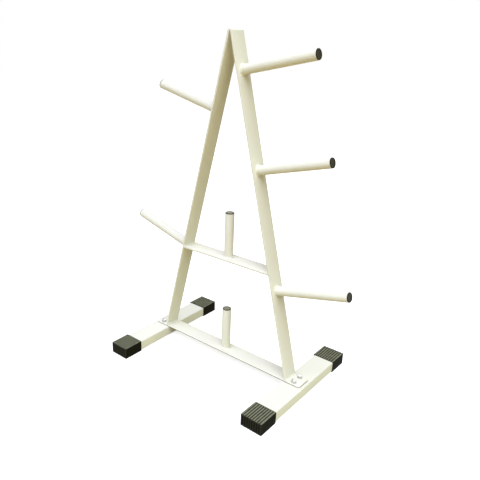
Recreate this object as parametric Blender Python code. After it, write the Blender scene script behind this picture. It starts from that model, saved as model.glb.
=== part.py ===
"""Weight plate rack for plates with a one inch hole.

One flat bar is folded into an A-frame that stands on a flat base bar. Five round horns on
the legs and two upright posts between them hold the plates. Two box section feet with
ribbed caps carry the base bar, which four bolts clamp to them.

Sizes are in metres. +Z is up, +X is the rack's right side and -Y is its front. The
origin is on the floor, under the middle of the whole rack's outline.
"""

from math import atan2, cos, pi, radians, sin, tan

import bmesh
import bpy
from mathutils import Matrix, Vector

# Room left between pieces that touch, and distance at which stray points are merged
GAP = 0.0003
MERGE = 0.000005

# Flat bar that the A-frame, the shelf and the base bar are cut from
BAR_WIDTH = 0.050
BAR_THICK = 0.005
BAR_EDGE = 0.0007

# Box section feet, running from front to back
FOOT_X = 0.246
FOOT_LENGTH = 0.424
BOX_WIDTH = 0.060
BOX_HEIGHT = 0.030
BOX_WALL = 0.0015
BOX_CORNER = 0.003

# Caps on the ends of the feet
CAP_LENGTH = 0.064
CAP_SOLE = 0.0015
CAP_ROOF = 0.0020
CAP_SIDE = 0.0014
CAP_END = 0.003
CAP_CORNER = 0.0025
CAP_RIM = 0.0012

# Grooves that leave round ribs on a cap's roof and end face
GROOVE_COUNT = 8
GROOVE_PITCH = 0.0070
GROOVE_WIDTH = 0.0066
GROOVE_DEPTH = 0.0012
GROOVE_LIFT = 0.0001
GROOVE_STOP_Z = 0.004

# Base bar
BASE_HALF_LENGTH = 0.268
BASE_CORNER = 0.008

# A-frame: where the outer faces meet the base bar, and where they would cross
LEG_FOOT_X = 0.227
APEX_Z = 0.948
BEND_RADIUS = 0.0062

# Shelf bar between the legs
SHELF_TOP_Z = 0.331

# Round tube of the horns and posts
TUBE_RADIUS = 0.013
TUBE_WALL = 0.0015
HORN_LENGTH = 0.203
POST_LENGTH = 0.1285

# Horns: side of the rack, height on the leg's outer face, rise above level in degrees
HORNS = {
    "right_top": (1, 0.8345, 10.8),
    "right_middle": (1, 0.5925, 13.8),
    "right_low": (1, 0.2795, 13.7),
    "left_upper": (-1, 0.7345, 15.2),
    "left_lower": (-1, 0.3310, 15.8),
}

# Plugs in the round tubes
PLUG_RADIUS = 0.0127
PLUG_FLANGE = 0.0022
PLUG_DISH_RADIUS = 0.0092
PLUG_DISH_DEPTH = 0.0005
PLUG_EDGE = 0.0007
PLUG_WEB = 0.0010
PLUG_STEM = 0.013
PLUG_STEM_WALL = 0.0015
PLUG_LEAD = 0.0008

# Weld beads
WELD_SIZE = 0.0028
WELD_STEPS = 3
WELD_BULGE = 0.4
WELD_SETBACK = 0.002
WELD_ROOT = 0.001

# M8 bolts and their washers on the base bar, and weld nuts inside the feet
BOLT_Y = 0.015
BOLT_RADIUS = 0.0039
BOLT_LENGTH = 0.020
BOLT_HEAD_HEIGHT = 0.0053
BOLT_POINT = 0.0007
HEX_FLATS = 0.013
HEX_FACE = 0.95
HEX_LENS_RADIUS = 0.0078
HEX_CHAMFER = radians(30)
NUT_HEIGHT = 0.0065
NUT_BORE_RADIUS = 0.0042
WASHER_RADIUS = 0.0083
WASHER_THICK = 0.0016
BOLT_HOLE_RADIUS = 0.0045

# Finishes: colour, roughness, metallic
PAINT = ((0.80, 0.79, 0.68), 0.38, 0.0)
PLASTIC = ((0.020, 0.020, 0.018), 0.45, 0.0)
RUBBER = ((0.016, 0.016, 0.014), 0.60, 0.0)
ZINC = ((0.72, 0.72, 0.70), 0.32, 1.0)

# Facets, and the angle between two of them below which a surface looks smooth
TUBE_STEPS = 24
FASTENER_STEPS = 16
CORNER_STEPS = 4
RIM_STEPS = 3
BEND_STEPS = 10
GROOVE_STEPS = 2
EDGE_STEPS = 2
SMOOTH_BELOW = radians(35)

# Heights of the stack, from the floor up
BOX_BOTTOM_Z = CAP_SOLE + GAP
BOX_TOP_Z = BOX_BOTTOM_Z + BOX_HEIGHT
CAP_HEIGHT = BOX_TOP_Z + GAP + CAP_ROOF
BASE_BOTTOM_Z = BOX_TOP_Z + GAP
BASE_TOP_Z = BASE_BOTTOM_Z + BAR_THICK
LEG_FOOT_Z = BASE_TOP_Z + GAP

# Lean of the legs from upright
LEAN = atan2(LEG_FOOT_X, APEX_Z - BASE_TOP_Z)

# The turn that stands a shape's Y up along Z and lays its Z along -Y
UPRIGHT = Matrix.Rotation(pi / 2, 3, "X")


def leg_outer_x(z):
    """Distance of a leg's outer face from the A-frame's middle at a height."""
    return (APEX_Z - z) * tan(LEAN)


def leg_inner_x(z):
    """Distance of a leg's inner face from the A-frame's middle at a height."""
    return leg_outer_x(z) - BAR_THICK / cos(LEAN)


def horn_reach(side):
    """How far the horns of one side stand out from the A-frame's middle."""
    length = HORN_LENGTH + GAP + PLUG_FLANGE
    reaches = [
        leg_outer_x(height) + length * cos(radians(rise)) + TUBE_RADIUS * sin(radians(rise))
        for horn_side, height, rise in HORNS.values()
        if horn_side == side
    ]
    return max(reaches)


# Outlines

def arc(centre_x, centre_y, radius, start, end, steps):
    """Points along an arc, both ends included."""
    angles = [start + (end - start) * step / steps for step in range(steps + 1)]
    return [(centre_x + radius * cos(a), centre_y + radius * sin(a)) for a in angles]


def rounded_rectangle(width, height, radius, centre_y=0.0):
    """Outline of a rectangle with round corners."""
    x = width / 2 - radius
    y = height / 2 - radius
    points = []
    for quarter, (side_x, side_y) in enumerate(((1, 1), (-1, 1), (-1, -1), (1, -1))):
        start = quarter * pi / 2
        centre = (side_x * x, centre_y + side_y * y)
        points += arc(*centre, radius, start, start + pi / 2, CORNER_STEPS)
    return points


def weld_face():
    """A bead's free face, as shares of its size along the other piece and its own piece."""
    points = []
    for step in range(WELD_STEPS + 1):
        angle = pi / 2 * step / WELD_STEPS
        flat = 1 / (cos(angle) + sin(angle))
        bulge = flat + (1 - flat) * WELD_BULGE
        points.append((bulge * cos(angle), bulge * sin(angle)))
    return points


def weld_section(corner, own, other, root):
    """Outline of a bead in the corner between its own piece and another one.

    own and other are directions along the two faces; root points into its own piece.
    """
    points = [corner + root]
    points += [corner + (other * out + own * up) * WELD_SIZE for out, up in weld_face()]
    points.append(corner + own * WELD_SIZE + root)
    return [(point.x, point.y) for point in points]


def groove_section():
    """Section of the cutter between two round ribs, with Y up out of the surface."""
    half = GROOVE_WIDTH / 2
    fall = GROOVE_DEPTH + GROOVE_LIFT
    angles = [pi / 2 * step / GROOVE_STEPS for step in range(GROOVE_STEPS + 1)]
    right = [(half * (1 - sin(a)), GROOVE_LIFT + fall * (cos(a) - 1)) for a in angles]
    left = [(-x, y) for x, y in reversed(right[:-1])]
    return [(half, GROOVE_DEPTH), *right, *left, (-half, GROOVE_DEPTH)]


def hexagon():
    """Outline of the bolt heads and nuts."""
    return arc(0.0, 0.0, HEX_FLATS / 2 / cos(pi / 6), 0.0, 5 * pi / 3, 5)


# Solids

def made_verts(result):
    """The vertices in what an operator gave back."""
    return [item for item in result if isinstance(item, bmesh.types.BMVert)]


def extruded(outline, depth):
    """Pull a flat outline up along Z into a closed solid."""
    bm = bmesh.new()
    face = bm.faces.new([bm.verts.new((x, y, 0.0)) for x, y in outline])
    pulled = bmesh.ops.extrude_face_region(bm, geom=[face])["geom"]
    bmesh.ops.translate(bm, vec=(0.0, 0.0, depth), verts=made_verts(pulled))
    bmesh.ops.recalc_face_normals(bm, faces=bm.faces)
    return bm


def soften_rims(bm, depth, width):
    """Round the edges around both flat ends of an extruded solid."""
    low = [edge for edge in bm.edges if all(vert.co.z < depth / 2 for vert in edge.verts)]
    high = [edge for edge in bm.edges if all(vert.co.z > depth / 2 for vert in edge.verts)]
    bmesh.ops.bevel(
        bm, geom=low + high, offset=width, segments=EDGE_STEPS, profile=0.5, affect="EDGES",
        material=-1,
    )


def hollow_section(outline, wall, length):
    """Tube with an even wall inside an outline, standing along Z."""
    bm = bmesh.new()
    core = bm.faces.new([bm.verts.new((x, y, 0.0)) for x, y in outline])
    core.normal_update()
    rim = bmesh.ops.inset_individual(
        bm, faces=[core], thickness=wall, use_even_offset=True
    )["faces"]
    bmesh.ops.delete(bm, geom=[core], context="FACES_ONLY")
    pulled = bmesh.ops.extrude_face_region(bm, geom=rim)["geom"]
    bmesh.ops.translate(bm, vec=(0.0, 0.0, length), verts=made_verts(pulled))
    bmesh.ops.recalc_face_normals(bm, faces=bm.faces)
    return bm


def turned(profile, steps, closed=False):
    """Spin a profile of (radius, height) points about Z.

    An open profile starts and ends on the axis; a closed one is a ring's section.
    """
    bm = bmesh.new()
    verts = [bm.verts.new((radius, 0.0, height)) for radius, height in profile]
    edges = [bm.edges.new(pair) for pair in zip(verts, verts[1:])]
    if closed:
        edges.append(bm.edges.new((verts[-1], verts[0])))
    bmesh.ops.spin(
        bm, geom=verts + edges, cent=(0, 0, 0), axis=(0, 0, 1), angle=2 * pi, steps=steps,
        use_merge=True,
    )
    bmesh.ops.remove_doubles(bm, verts=bm.verts, dist=MERGE)
    bmesh.ops.recalc_face_normals(bm, faces=bm.faces)
    return bm


def drill(low_z, high_z, x=0.0, y=0.0, radius=BOLT_HOLE_RADIUS):
    """Upright cylinder that cuts a round hole between two heights."""
    profile = [(0.0, low_z), (radius, low_z), (radius, high_z), (0.0, high_z)]
    bm = turned(profile, FASTENER_STEPS)
    bmesh.ops.translate(bm, vec=(x, y, 0.0), verts=bm.verts)
    return bm


def stood_up(bm, front_y=0.0):
    """Turn an extruded shape so that its outline faces the front, and move it along Y."""
    bmesh.ops.rotate(bm, cent=(0, 0, 0), matrix=UPRIGHT, verts=bm.verts)
    bmesh.ops.translate(bm, vec=(0.0, front_y, 0.0), verts=bm.verts)
    return bm


def as_mesh(bm):
    """Keep a bmesh as mesh data."""
    mesh = bpy.data.meshes.new("shape")
    bm.to_mesh(mesh)
    bm.free()
    return mesh


def as_bmesh(mesh):
    """Take mesh data back into a bmesh."""
    bm = bmesh.new()
    bm.from_mesh(mesh)
    return bm


def combined(operation, body, tools):
    """Cut, join or intersect a solid with tools that stand apart.

    Where faces of the two nearly meet, the cut leaves points a hair apart, which are merged.
    """
    together = bmesh.new()
    for tool in tools:
        together.from_mesh(as_mesh(tool))
    shapes = [bpy.data.objects.new("shape", as_mesh(bm)) for bm in (body, together)]
    for shape in shapes:
        bpy.context.scene.collection.objects.link(shape)
    boolean = shapes[0].modifiers.new("combine", "BOOLEAN")
    boolean.operation = operation
    boolean.solver = "EXACT"
    boolean.object = shapes[1]
    depsgraph = bpy.context.evaluated_depsgraph_get()
    bm = as_bmesh(shapes[0].evaluated_get(depsgraph).data)
    for shape in shapes:
        bpy.data.objects.remove(shape)
    bmesh.ops.remove_doubles(bm, verts=bm.verts, dist=MERGE)
    bmesh.ops.dissolve_degenerate(bm, edges=bm.edges, dist=MERGE)
    return bm


# Pieces, each in its own coordinates

def weld_bead(corner, own, other, root):
    """A bead as wide as the flat bar less a setback at each side, in the bar's outline plane."""
    section = weld_section(corner, own, other, root)
    bead = extruded(section, BAR_WIDTH - 2 * WELD_SETBACK)
    bmesh.ops.translate(bead, vec=(0.0, 0.0, WELD_SETBACK), verts=bead.verts)
    return bead


def a_frame_shape():
    """The bar folded over at the top, with a bead on both sides of each foot.

    Its outline is drawn in X and Y, and Y becomes the rack's height.
    """
    bend_y = APEX_Z - BEND_RADIUS / sin(LEAN)
    outer_x = leg_outer_x(LEG_FOOT_Z)
    inner_x = leg_inner_x(LEG_FOOT_Z)
    outline = [(outer_x, LEG_FOOT_Z)]
    outline += arc(0.0, bend_y, BEND_RADIUS, LEAN, pi - LEAN, BEND_STEPS)
    outline += [(-outer_x, LEG_FOOT_Z), (-inner_x, LEG_FOOT_Z)]
    outline += arc(0.0, bend_y, BEND_RADIUS - BAR_THICK, pi - LEAN, LEAN, BEND_STEPS)
    outline += [(inner_x, LEG_FOOT_Z)]
    strap = extruded(outline, BAR_WIDTH)
    soften_rims(strap, BAR_WIDTH, BAR_EDGE)

    beads = []
    for side in (1, -1):
        up_the_leg = Vector((-side * sin(LEAN), cos(LEAN)))
        outward = Vector((side, 0.0))
        outer_corner = Vector((side * outer_x, LEG_FOOT_Z))
        inner_corner = Vector((side * inner_x, LEG_FOOT_Z))
        beads.append(weld_bead(outer_corner, up_the_leg, outward, -outward * WELD_ROOT))
        beads.append(weld_bead(inner_corner, up_the_leg, -outward, outward * WELD_ROOT))
    return combined("UNION", strap, beads)


def shelf_shape():
    """The cross bar, cut to the lean of the legs, with a bead along each upper end.

    Its outline is drawn in X and Y, and Y becomes the rack's height.
    """
    low_z = SHELF_TOP_Z - BAR_THICK
    top_x = leg_inner_x(SHELF_TOP_Z) - GAP
    low_x = leg_inner_x(low_z) - GAP
    outline = [(low_x, low_z), (top_x, SHELF_TOP_Z), (-top_x, SHELF_TOP_Z), (-low_x, low_z)]
    bar = extruded(outline, BAR_WIDTH)
    soften_rims(bar, BAR_WIDTH, BAR_EDGE)

    beads = []
    for side in (1, -1):
        corner = Vector((side * top_x, SHELF_TOP_Z))
        inward = Vector((-side, 0.0))
        up_the_leg = Vector((-side * sin(LEAN), cos(LEAN)))
        beads.append(weld_bead(corner, inward, up_the_leg, Vector((0.0, -WELD_ROOT))))
    return combined("UNION", bar, beads)


def base_bar_shape():
    """The long bar that lies across both feet, with round corners and four bolt holes."""
    bar = extruded(rounded_rectangle(2 * BASE_HALF_LENGTH, BAR_WIDTH, BASE_CORNER), BAR_THICK)
    soften_rims(bar, BAR_THICK, BAR_EDGE)
    corners = [(x, y) for x in (-FOOT_X, FOOT_X) for y in (-BOLT_Y, BOLT_Y)]
    drills = [drill(-BAR_THICK, 2 * BAR_THICK, x, y) for x, y in corners]
    return combined("DIFFERENCE", bar, drills)


def foot_tube_shape():
    """A foot's box section, centred on the origin, with two bolt holes in its top wall."""
    length = FOOT_LENGTH - 2 * (CAP_END + GAP)
    outline = rounded_rectangle(BOX_WIDTH, BOX_HEIGHT, BOX_CORNER)
    tube = stood_up(hollow_section(outline, BOX_WALL, length), length / 2)
    drills = [drill(0.0, BOX_HEIGHT, 0.0, y) for y in (-BOLT_Y, BOLT_Y)]
    return combined("DIFFERENCE", tube, drills)


def groove_cutter(x):
    """A bar that runs along a cap's roof, bends over its rim and goes down its end face."""
    outline = [(x + across, CAP_HEIGHT + up) for across, up in groove_section()]
    start_y = CAP_LENGTH + GROOVE_WIDTH
    bar = stood_up(extruded(outline, start_y - CAP_RIM), start_y)
    front = [face for face in bar.faces if all(vert.co.y < start_y / 2 for vert in face.verts)]
    bent = bmesh.ops.spin(
        bar, geom=front, cent=(x, CAP_RIM, CAP_HEIGHT - CAP_RIM), axis=(1, 0, 0),
        angle=pi / 2, steps=RIM_STEPS,
    )["geom_last"]
    bottom = [item for item in bent if isinstance(item, bmesh.types.BMFace)]
    pulled = bmesh.ops.extrude_discrete_faces(bar, faces=bottom)["faces"]
    down = GROOVE_STOP_Z - (CAP_HEIGHT - CAP_RIM)
    verts = [vert for face in pulled for vert in face.verts]
    bmesh.ops.translate(bar, vec=(0.0, 0.0, down), verts=verts)
    bmesh.ops.delete(bar, geom=front, context="FACES_ONLY")
    bmesh.ops.recalc_face_normals(bar, faces=bar.faces)
    return bar


def cap_shape():
    """A foot cap: a ribbed sleeve with its closed end at Y = 0 and its mouth towards +Y."""
    half = BOX_WIDTH / 2 + GAP + CAP_SIDE
    corner_x = half - CAP_CORNER
    outline = [(half, CAP_LENGTH), (-half, CAP_LENGTH)]
    outline += arc(-corner_x, CAP_CORNER, CAP_CORNER, pi, 3 * pi / 2, CORNER_STEPS)
    outline += arc(corner_x, CAP_CORNER, CAP_CORNER, -pi / 2, 0.0, CORNER_STEPS)
    body = extruded(outline, CAP_HEIGHT)
    rims = [
        edge
        for edge in body.edges
        if abs(edge.verts[0].co.z - edge.verts[1].co.z) < MERGE
        and min(vert.co.y for vert in edge.verts) < CAP_LENGTH / 2
    ]
    bmesh.ops.bevel(
        body, geom=rims, offset=CAP_RIM, segments=RIM_STEPS, profile=0.5, affect="EDGES",
        material=-1,
    )

    width = BOX_WIDTH + 2 * GAP
    height = BOX_HEIGHT + 2 * GAP
    middle_z = BOX_BOTTOM_Z + BOX_HEIGHT / 2
    pocket = extruded(rounded_rectangle(width, height, BOX_CORNER + GAP, middle_z), CAP_LENGTH)
    stood_up(pocket, CAP_LENGTH + CAP_END)

    middle = (GROOVE_COUNT - 1) / 2
    grooves = [groove_cutter((index - middle) * GROOVE_PITCH) for index in range(GROOVE_COUNT)]
    return combined("DIFFERENCE", body, [pocket, *grooves])


def round_tube(length, mitre):
    """A round tube along Z, with its weld flared out at the foot.

    mitre is the angle between the tube's axis and the square to the face it stands on.
    The foot is sheared by it, so that its whole rim lies on that face.
    """
    inner = TUBE_RADIUS - TUBE_WALL
    flare = [(TUBE_RADIUS + WELD_SIZE * out, WELD_SIZE * up) for out, up in weld_face()]
    bm = turned([(inner, 0.0), *flare, (TUBE_RADIUS, length), (inner, length)], TUBE_STEPS, True)
    for vert in bm.verts:
        if vert.co.z < length / 2:
            vert.co.z += vert.co.x * tan(mitre)
    return bm


def plug_shape():
    """A tube plug: a dished flange above Z = 0 and a hollow stem with a tapered lead."""
    stem = TUBE_RADIUS - TUBE_WALL - GAP
    dish_z = PLUG_FLANGE - PLUG_DISH_DEPTH
    profile = [
        (0.0, dish_z),
        (PLUG_DISH_RADIUS - PLUG_DISH_DEPTH, dish_z),
        (PLUG_DISH_RADIUS, PLUG_FLANGE),
        (PLUG_RADIUS - PLUG_EDGE, PLUG_FLANGE),
        (PLUG_RADIUS, PLUG_FLANGE - PLUG_EDGE),
        (PLUG_RADIUS, 0.0),
        (stem, 0.0),
        (stem, PLUG_LEAD - PLUG_STEM),
        (stem - PLUG_LEAD, -PLUG_STEM),
        (stem - PLUG_STEM_WALL, -PLUG_STEM),
        (stem - PLUG_STEM_WALL, -PLUG_WEB),
        (0.0, -PLUG_WEB),
    ]
    return turned(profile, TUBE_STEPS)


def hex_blank(height, both_faces):
    """A hexagon standing on Z = 0, chamfered on its upper face or on both."""
    face_radius = HEX_FLATS / 2 * HEX_FACE
    drop = (HEX_LENS_RADIUS - face_radius) * tan(HEX_CHAMFER)
    upper = [(HEX_LENS_RADIUS, height - drop), (face_radius, height), (0.0, height)]
    if both_faces:
        lower = [(0.0, 0.0), (face_radius, 0.0), (HEX_LENS_RADIUS, drop)]
    else:
        lower = [(0.0, 0.0), (HEX_LENS_RADIUS, 0.0)]
    lens = turned(lower + upper, FASTENER_STEPS)
    return combined("INTERSECT", extruded(hexagon(), height), [lens])


def bolt_shape():
    """A hexagon bolt, point down, with the underside of its head at Z = 0."""
    profile = [
        (0.0, BOLT_HEAD_HEIGHT / 2),
        (BOLT_RADIUS, BOLT_HEAD_HEIGHT / 2),
        (BOLT_RADIUS, BOLT_POINT - BOLT_LENGTH),
        (BOLT_RADIUS - BOLT_POINT, -BOLT_LENGTH),
        (0.0, -BOLT_LENGTH),
    ]
    shank = turned(profile, FASTENER_STEPS)
    return combined("UNION", hex_blank(BOLT_HEAD_HEIGHT, False), [shank])


def nut_shape():
    """A hexagon nut that stands on Z = 0."""
    bore = drill(-NUT_HEIGHT, 2 * NUT_HEIGHT, radius=NUT_BORE_RADIUS)
    return combined("DIFFERENCE", hex_blank(NUT_HEIGHT, True), [bore])


def washer_shape():
    """A flat washer that lies on Z = 0."""
    section = [
        (NUT_BORE_RADIUS, 0.0),
        (WASHER_RADIUS, 0.0),
        (WASHER_RADIUS, WASHER_THICK),
        (NUT_BORE_RADIUS, WASHER_THICK),
    ]
    return turned(section, FASTENER_STEPS, closed=True)


# Materials and placing

def finish(name, colour, roughness, metallic):
    """One surface finish as a Principled material."""
    material = bpy.data.materials.new(name)
    material.use_nodes = True
    shader = material.node_tree.nodes["Principled BSDF"]
    shader.inputs["Base Color"].default_value = (*colour, 1.0)
    shader.inputs["Roughness"].default_value = roughness
    shader.inputs["Metallic"].default_value = metallic
    material.diffuse_color = (*colour, 1.0)
    return material


def dress(bm, material):
    """Make a finished shape's mesh, with its material and smooth between sharp edges."""
    mesh = as_mesh(bm)
    mesh.materials.append(material)
    mesh.shade_smooth()
    mesh.set_sharp_from_angle(angle=SMOOTH_BELOW)
    return mesh


def place(name, mesh, rack, location=(0, 0, 0), rotation=(0, 0, 0)):
    """Put one named piece on the rack."""
    piece = bpy.data.objects.new(name, mesh)
    bpy.context.scene.collection.objects.link(piece)
    piece.parent = rack
    piece.location = location
    piece.rotation_euler = rotation


# Assembly

def build_frame(rack, paint):
    """The A-frame, the shelf between its legs and the base bar under them."""
    front = (0.0, BAR_WIDTH / 2, 0.0)
    upright = (pi / 2, 0.0, 0.0)
    place("a_frame", dress(a_frame_shape(), paint), rack, front, upright)
    place("shelf_bar", dress(shelf_shape(), paint), rack, front, upright)
    place("base_bar", dress(base_bar_shape(), paint), rack, (0.0, 0.0, BASE_BOTTOM_Z))


def build_horns(rack, paint, plug):
    """Five horns on the outer faces of the legs, each with its plug."""
    for name, (side, height, rise) in HORNS.items():
        angle = radians(rise)
        axis = Vector((side * cos(angle), 0.0, sin(angle)))
        square = Vector((side * cos(LEAN), 0.0, sin(LEAN)))
        foot = Vector((side * leg_outer_x(height), 0.0, height)) + square * GAP
        turn = (0.0, side * (pi / 2 - angle), 0.0)
        tube = dress(round_tube(HORN_LENGTH, side * (LEAN - angle)), paint)
        place(f"horn_{name}", tube, rack, foot, turn)
        place(f"plug_{name}", plug, rack, foot + axis * (HORN_LENGTH + GAP), turn)


def build_posts(rack, paint, plug):
    """An upright post on the shelf and one on the base bar, each with its plug."""
    tube = dress(round_tube(POST_LENGTH, 0.0), paint)
    for name, floor_z in (("shelf_post", SHELF_TOP_Z), ("base_post", BASE_TOP_Z)):
        foot_z = floor_z + GAP
        place(name, tube, rack, (0.0, 0.0, foot_z))
        place(f"plug_{name}", plug, rack, (0.0, 0.0, foot_z + POST_LENGTH + GAP))


def build_feet(rack, paint, rubber):
    """Two box section feet, each with a cap on its front and its back end."""
    tube = dress(foot_tube_shape(), paint)
    cap = dress(cap_shape(), rubber)
    for side_name, side in (("left", -1), ("right", 1)):
        x = side * FOOT_X
        place(f"foot_tube_{side_name}", tube, rack, (x, 0.0, BOX_BOTTOM_Z + BOX_HEIGHT / 2))
        for end_name, end, turn in (("front", -1, 0.0), ("back", 1, pi)):
            seat = (x, end * FOOT_LENGTH / 2, 0.0)
            place(f"foot_cap_{side_name}_{end_name}", cap, rack, seat, (0.0, 0.0, turn))


def build_fasteners(rack, zinc):
    """A bolt and its washer in each hole of the base bar, and its nut inside the foot."""
    washer_z = BASE_TOP_Z + GAP
    head_z = washer_z + WASHER_THICK + GAP
    nut_z = BOX_TOP_Z - BOX_WALL - GAP - NUT_HEIGHT
    pieces = (
        ("bolt", dress(bolt_shape(), zinc), head_z),
        ("washer", dress(washer_shape(), zinc), washer_z),
        ("nut", dress(nut_shape(), zinc), nut_z),
    )
    for side_name, side in (("left", -1), ("right", 1)):
        for end_name, end in (("front", -1), ("back", 1)):
            for piece, mesh, z in pieces:
                seat = (side * FOOT_X, end * BOLT_Y, z)
                place(f"{piece}_{side_name}_{end_name}", mesh, rack, seat)


def main():
    """Clear the scene and build the rack."""
    for old in list(bpy.data.objects):
        bpy.data.objects.remove(old)

    paint = finish("ivory_powder_coat", *PAINT)
    plastic = finish("black_plug_plastic", *PLASTIC)
    rubber = finish("black_cap_rubber", *RUBBER)
    zinc = finish("zinc_plate", *ZINC)

    rack = bpy.data.objects.new("rack", None)
    rack.location.x = (horn_reach(-1) - horn_reach(1)) / 2
    bpy.context.scene.collection.objects.link(rack)

    plug = dress(plug_shape(), plastic)
    build_frame(rack, paint)
    build_horns(rack, paint, plug)
    build_posts(rack, paint, plug)
    build_feet(rack, paint, rubber)
    build_fasteners(rack, zinc)


main()
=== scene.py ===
# %% [markdown]
# A weight plate rack, dressed for its picture.
#
# The rack stands ready as plain solids: a flat bar folded into an A, a shelf, a base bar, five
# horns, two posts, two box section feet and their caps, plugs and bolts. This file loads those
# solids, which stay where they are, and models over them what a visitor in the shop would
# see: rolled bar edges, weld beads, ribbed caps, moulded plugs and the ivory powder coat.
#
# Sizes are in metres. +Z is up, +X is the rack's right side and -Y is its front.

# %% Load the solids
from math import atan2, cos, degrees, pi, radians, sin, sqrt, tan

import bmesh
import bpy
from mathutils import Matrix, Vector


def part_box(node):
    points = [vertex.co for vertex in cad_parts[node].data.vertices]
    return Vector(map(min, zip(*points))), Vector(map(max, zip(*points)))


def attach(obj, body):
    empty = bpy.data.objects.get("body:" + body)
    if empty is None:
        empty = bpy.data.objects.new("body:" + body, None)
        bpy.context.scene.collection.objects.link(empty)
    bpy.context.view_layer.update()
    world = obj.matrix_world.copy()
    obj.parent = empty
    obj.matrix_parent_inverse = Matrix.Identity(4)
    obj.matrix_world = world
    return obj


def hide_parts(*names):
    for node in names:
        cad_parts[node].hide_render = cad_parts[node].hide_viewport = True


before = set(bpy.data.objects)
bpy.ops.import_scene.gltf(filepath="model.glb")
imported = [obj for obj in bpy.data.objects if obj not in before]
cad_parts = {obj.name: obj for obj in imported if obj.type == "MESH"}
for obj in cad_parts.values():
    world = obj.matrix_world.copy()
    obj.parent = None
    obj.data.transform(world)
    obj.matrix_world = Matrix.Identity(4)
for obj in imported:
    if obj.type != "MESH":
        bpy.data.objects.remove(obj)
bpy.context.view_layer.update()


# %% [markdown]
# Words for shader maths.
#
# A finish is a set of nodes, and most of them do sums. Wiring each Math node by hand would bury
# the idea, so a shade stands for one socket and Python's own signs add the nodes: 1 - mask adds
# a subtraction, mask * 0.2 adds a product.

# %% Shades
class Shade:
    """The value that comes out of one node, open to sums."""

    def __init__(self, finish, socket):
        self.finish = finish
        self.socket = socket

    def __add__(self, other):
        return self.finish.math("ADD", self, other)

    def __radd__(self, other):
        return self.finish.math("ADD", other, self)

    def __sub__(self, other):
        return self.finish.math("SUBTRACT", self, other)

    def __rsub__(self, other):
        return self.finish.math("SUBTRACT", other, self)

    def __mul__(self, other):
        return self.finish.math("MULTIPLY", self, other)


print("the signs + - and * add a Math node each")


# %% [markdown]
# A finish, node by node.
#
# Every other node comes from one method, which takes the kind of node, its settings and what
# goes into its sockets. The rack's finishes need only a few kinds, such as noise, a blend and a
# bump, so each of these has a word of its own and a finish reads like a recipe. A Mix node has
# sockets for each kind of value, and its colour sockets are found by their numbers.

# %% Finishes
MIX_A = 6
MIX_B = 7
MIX_RESULT = 2


class Finish:
    """A tree of nodes, for a material or for the world."""

    def __init__(self, owner):
        owner.use_nodes = True
        self.owner = owner
        self.tree = owner.node_tree
        self.tree.nodes.clear()

    def node(self, kind, settings=None, sockets=None, output=0):
        """Add a node. Its settings come first, then the values or shades of its sockets."""
        made = self.tree.nodes.new(kind)
        for setting, value in (settings or {}).items():
            setattr(made, setting, value)
        for socket, value in (sockets or {}).items():
            if isinstance(value, Shade):
                self.tree.links.new(value.socket, made.inputs[socket])
            else:
                made.inputs[socket].default_value = value
        return Shade(self, made.outputs[output]) if len(made.outputs) else None

    def math(self, operation, first, second=0.0):
        """One sum. Those of a single number leave the second one out."""
        return self.node("ShaderNodeMath", {"operation": operation}, {0: first, 1: second})

    def place(self):
        """Where a point lies on the piece, in metres."""
        return self.node("ShaderNodeTexCoord", output="Object")

    def along(self, axis, vector):
        """How far a vector goes along one axis."""
        return self.node("ShaderNodeSeparateXYZ", sockets={0: vector}, output=axis)

    def facing(self, axis):
        """How squarely the surface faces along an axis, from -1 to 1."""
        return self.along(axis, self.node("ShaderNodeNewGeometry", output="Normal"))

    def facing_up(self, steep):
        """1 on level ground, falling to 0 where the surface is this steep or steeper."""
        return self.clamped((self.facing("Z") - cos(steep)) * (1 / (1 - cos(steep))))

    def noise(self, size, detail=2.0, roughness=0.5, stretch=(1, 1, 1)):
        """Soft blotches of about this size, from 0 to 1."""
        spread = {"Vector": self.place(), "Scale": stretch}
        spot = self.node("ShaderNodeMapping", sockets=spread)
        sockets = {"Vector": spot, "Scale": 1 / size, "Detail": detail, "Roughness": roughness}
        return self.node("ShaderNodeTexNoise", sockets=sockets)

    def clamped(self, value):
        """A shade held between 0 and 1."""
        return self.node("ShaderNodeClamp", sockets={"Value": value})

    def between(self, mask, low, high):
        """A number that goes from low to high as a mask goes from 0 to 1."""
        return low + mask * (high - low)

    def blend(self, mask, low, high):
        """The same for a colour, where both ends may be colours or shades."""
        values = {0: mask, MIX_A: low, MIX_B: high}
        return self.node("ShaderNodeMix", {"data_type": "RGBA"}, values, MIX_RESULT)

    def bump(self, height, depth):
        """Lift the surface by a height from 0 to 1, times this depth in metres."""
        values = {"Height": height, "Distance": depth, "Strength": 1.0}
        return self.node("ShaderNodeBump", sockets=values)

    def surface(self, **values):
        """The one shader at the end of a material."""
        sockets = {name.replace("_", " "): value for name, value in values.items()}
        shader = self.node("ShaderNodeBsdfPrincipled", sockets=sockets)
        self.node("ShaderNodeOutputMaterial", sockets={"Surface": shader})
        print(f"{self.owner.name}: {len(self.tree.nodes)} nodes")
        return self.owner


def new_finish(name):
    """Start a material of this name."""
    return Finish(bpy.data.materials.new(name))


def tint(red, green, blue):
    """A colour with its fourth number, as sockets want it."""
    return (red, green, blue, 1.0)


print("a Mix node takes its colours at", MIX_A, "and", MIX_B, "and gives one at", MIX_RESULT)
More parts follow.
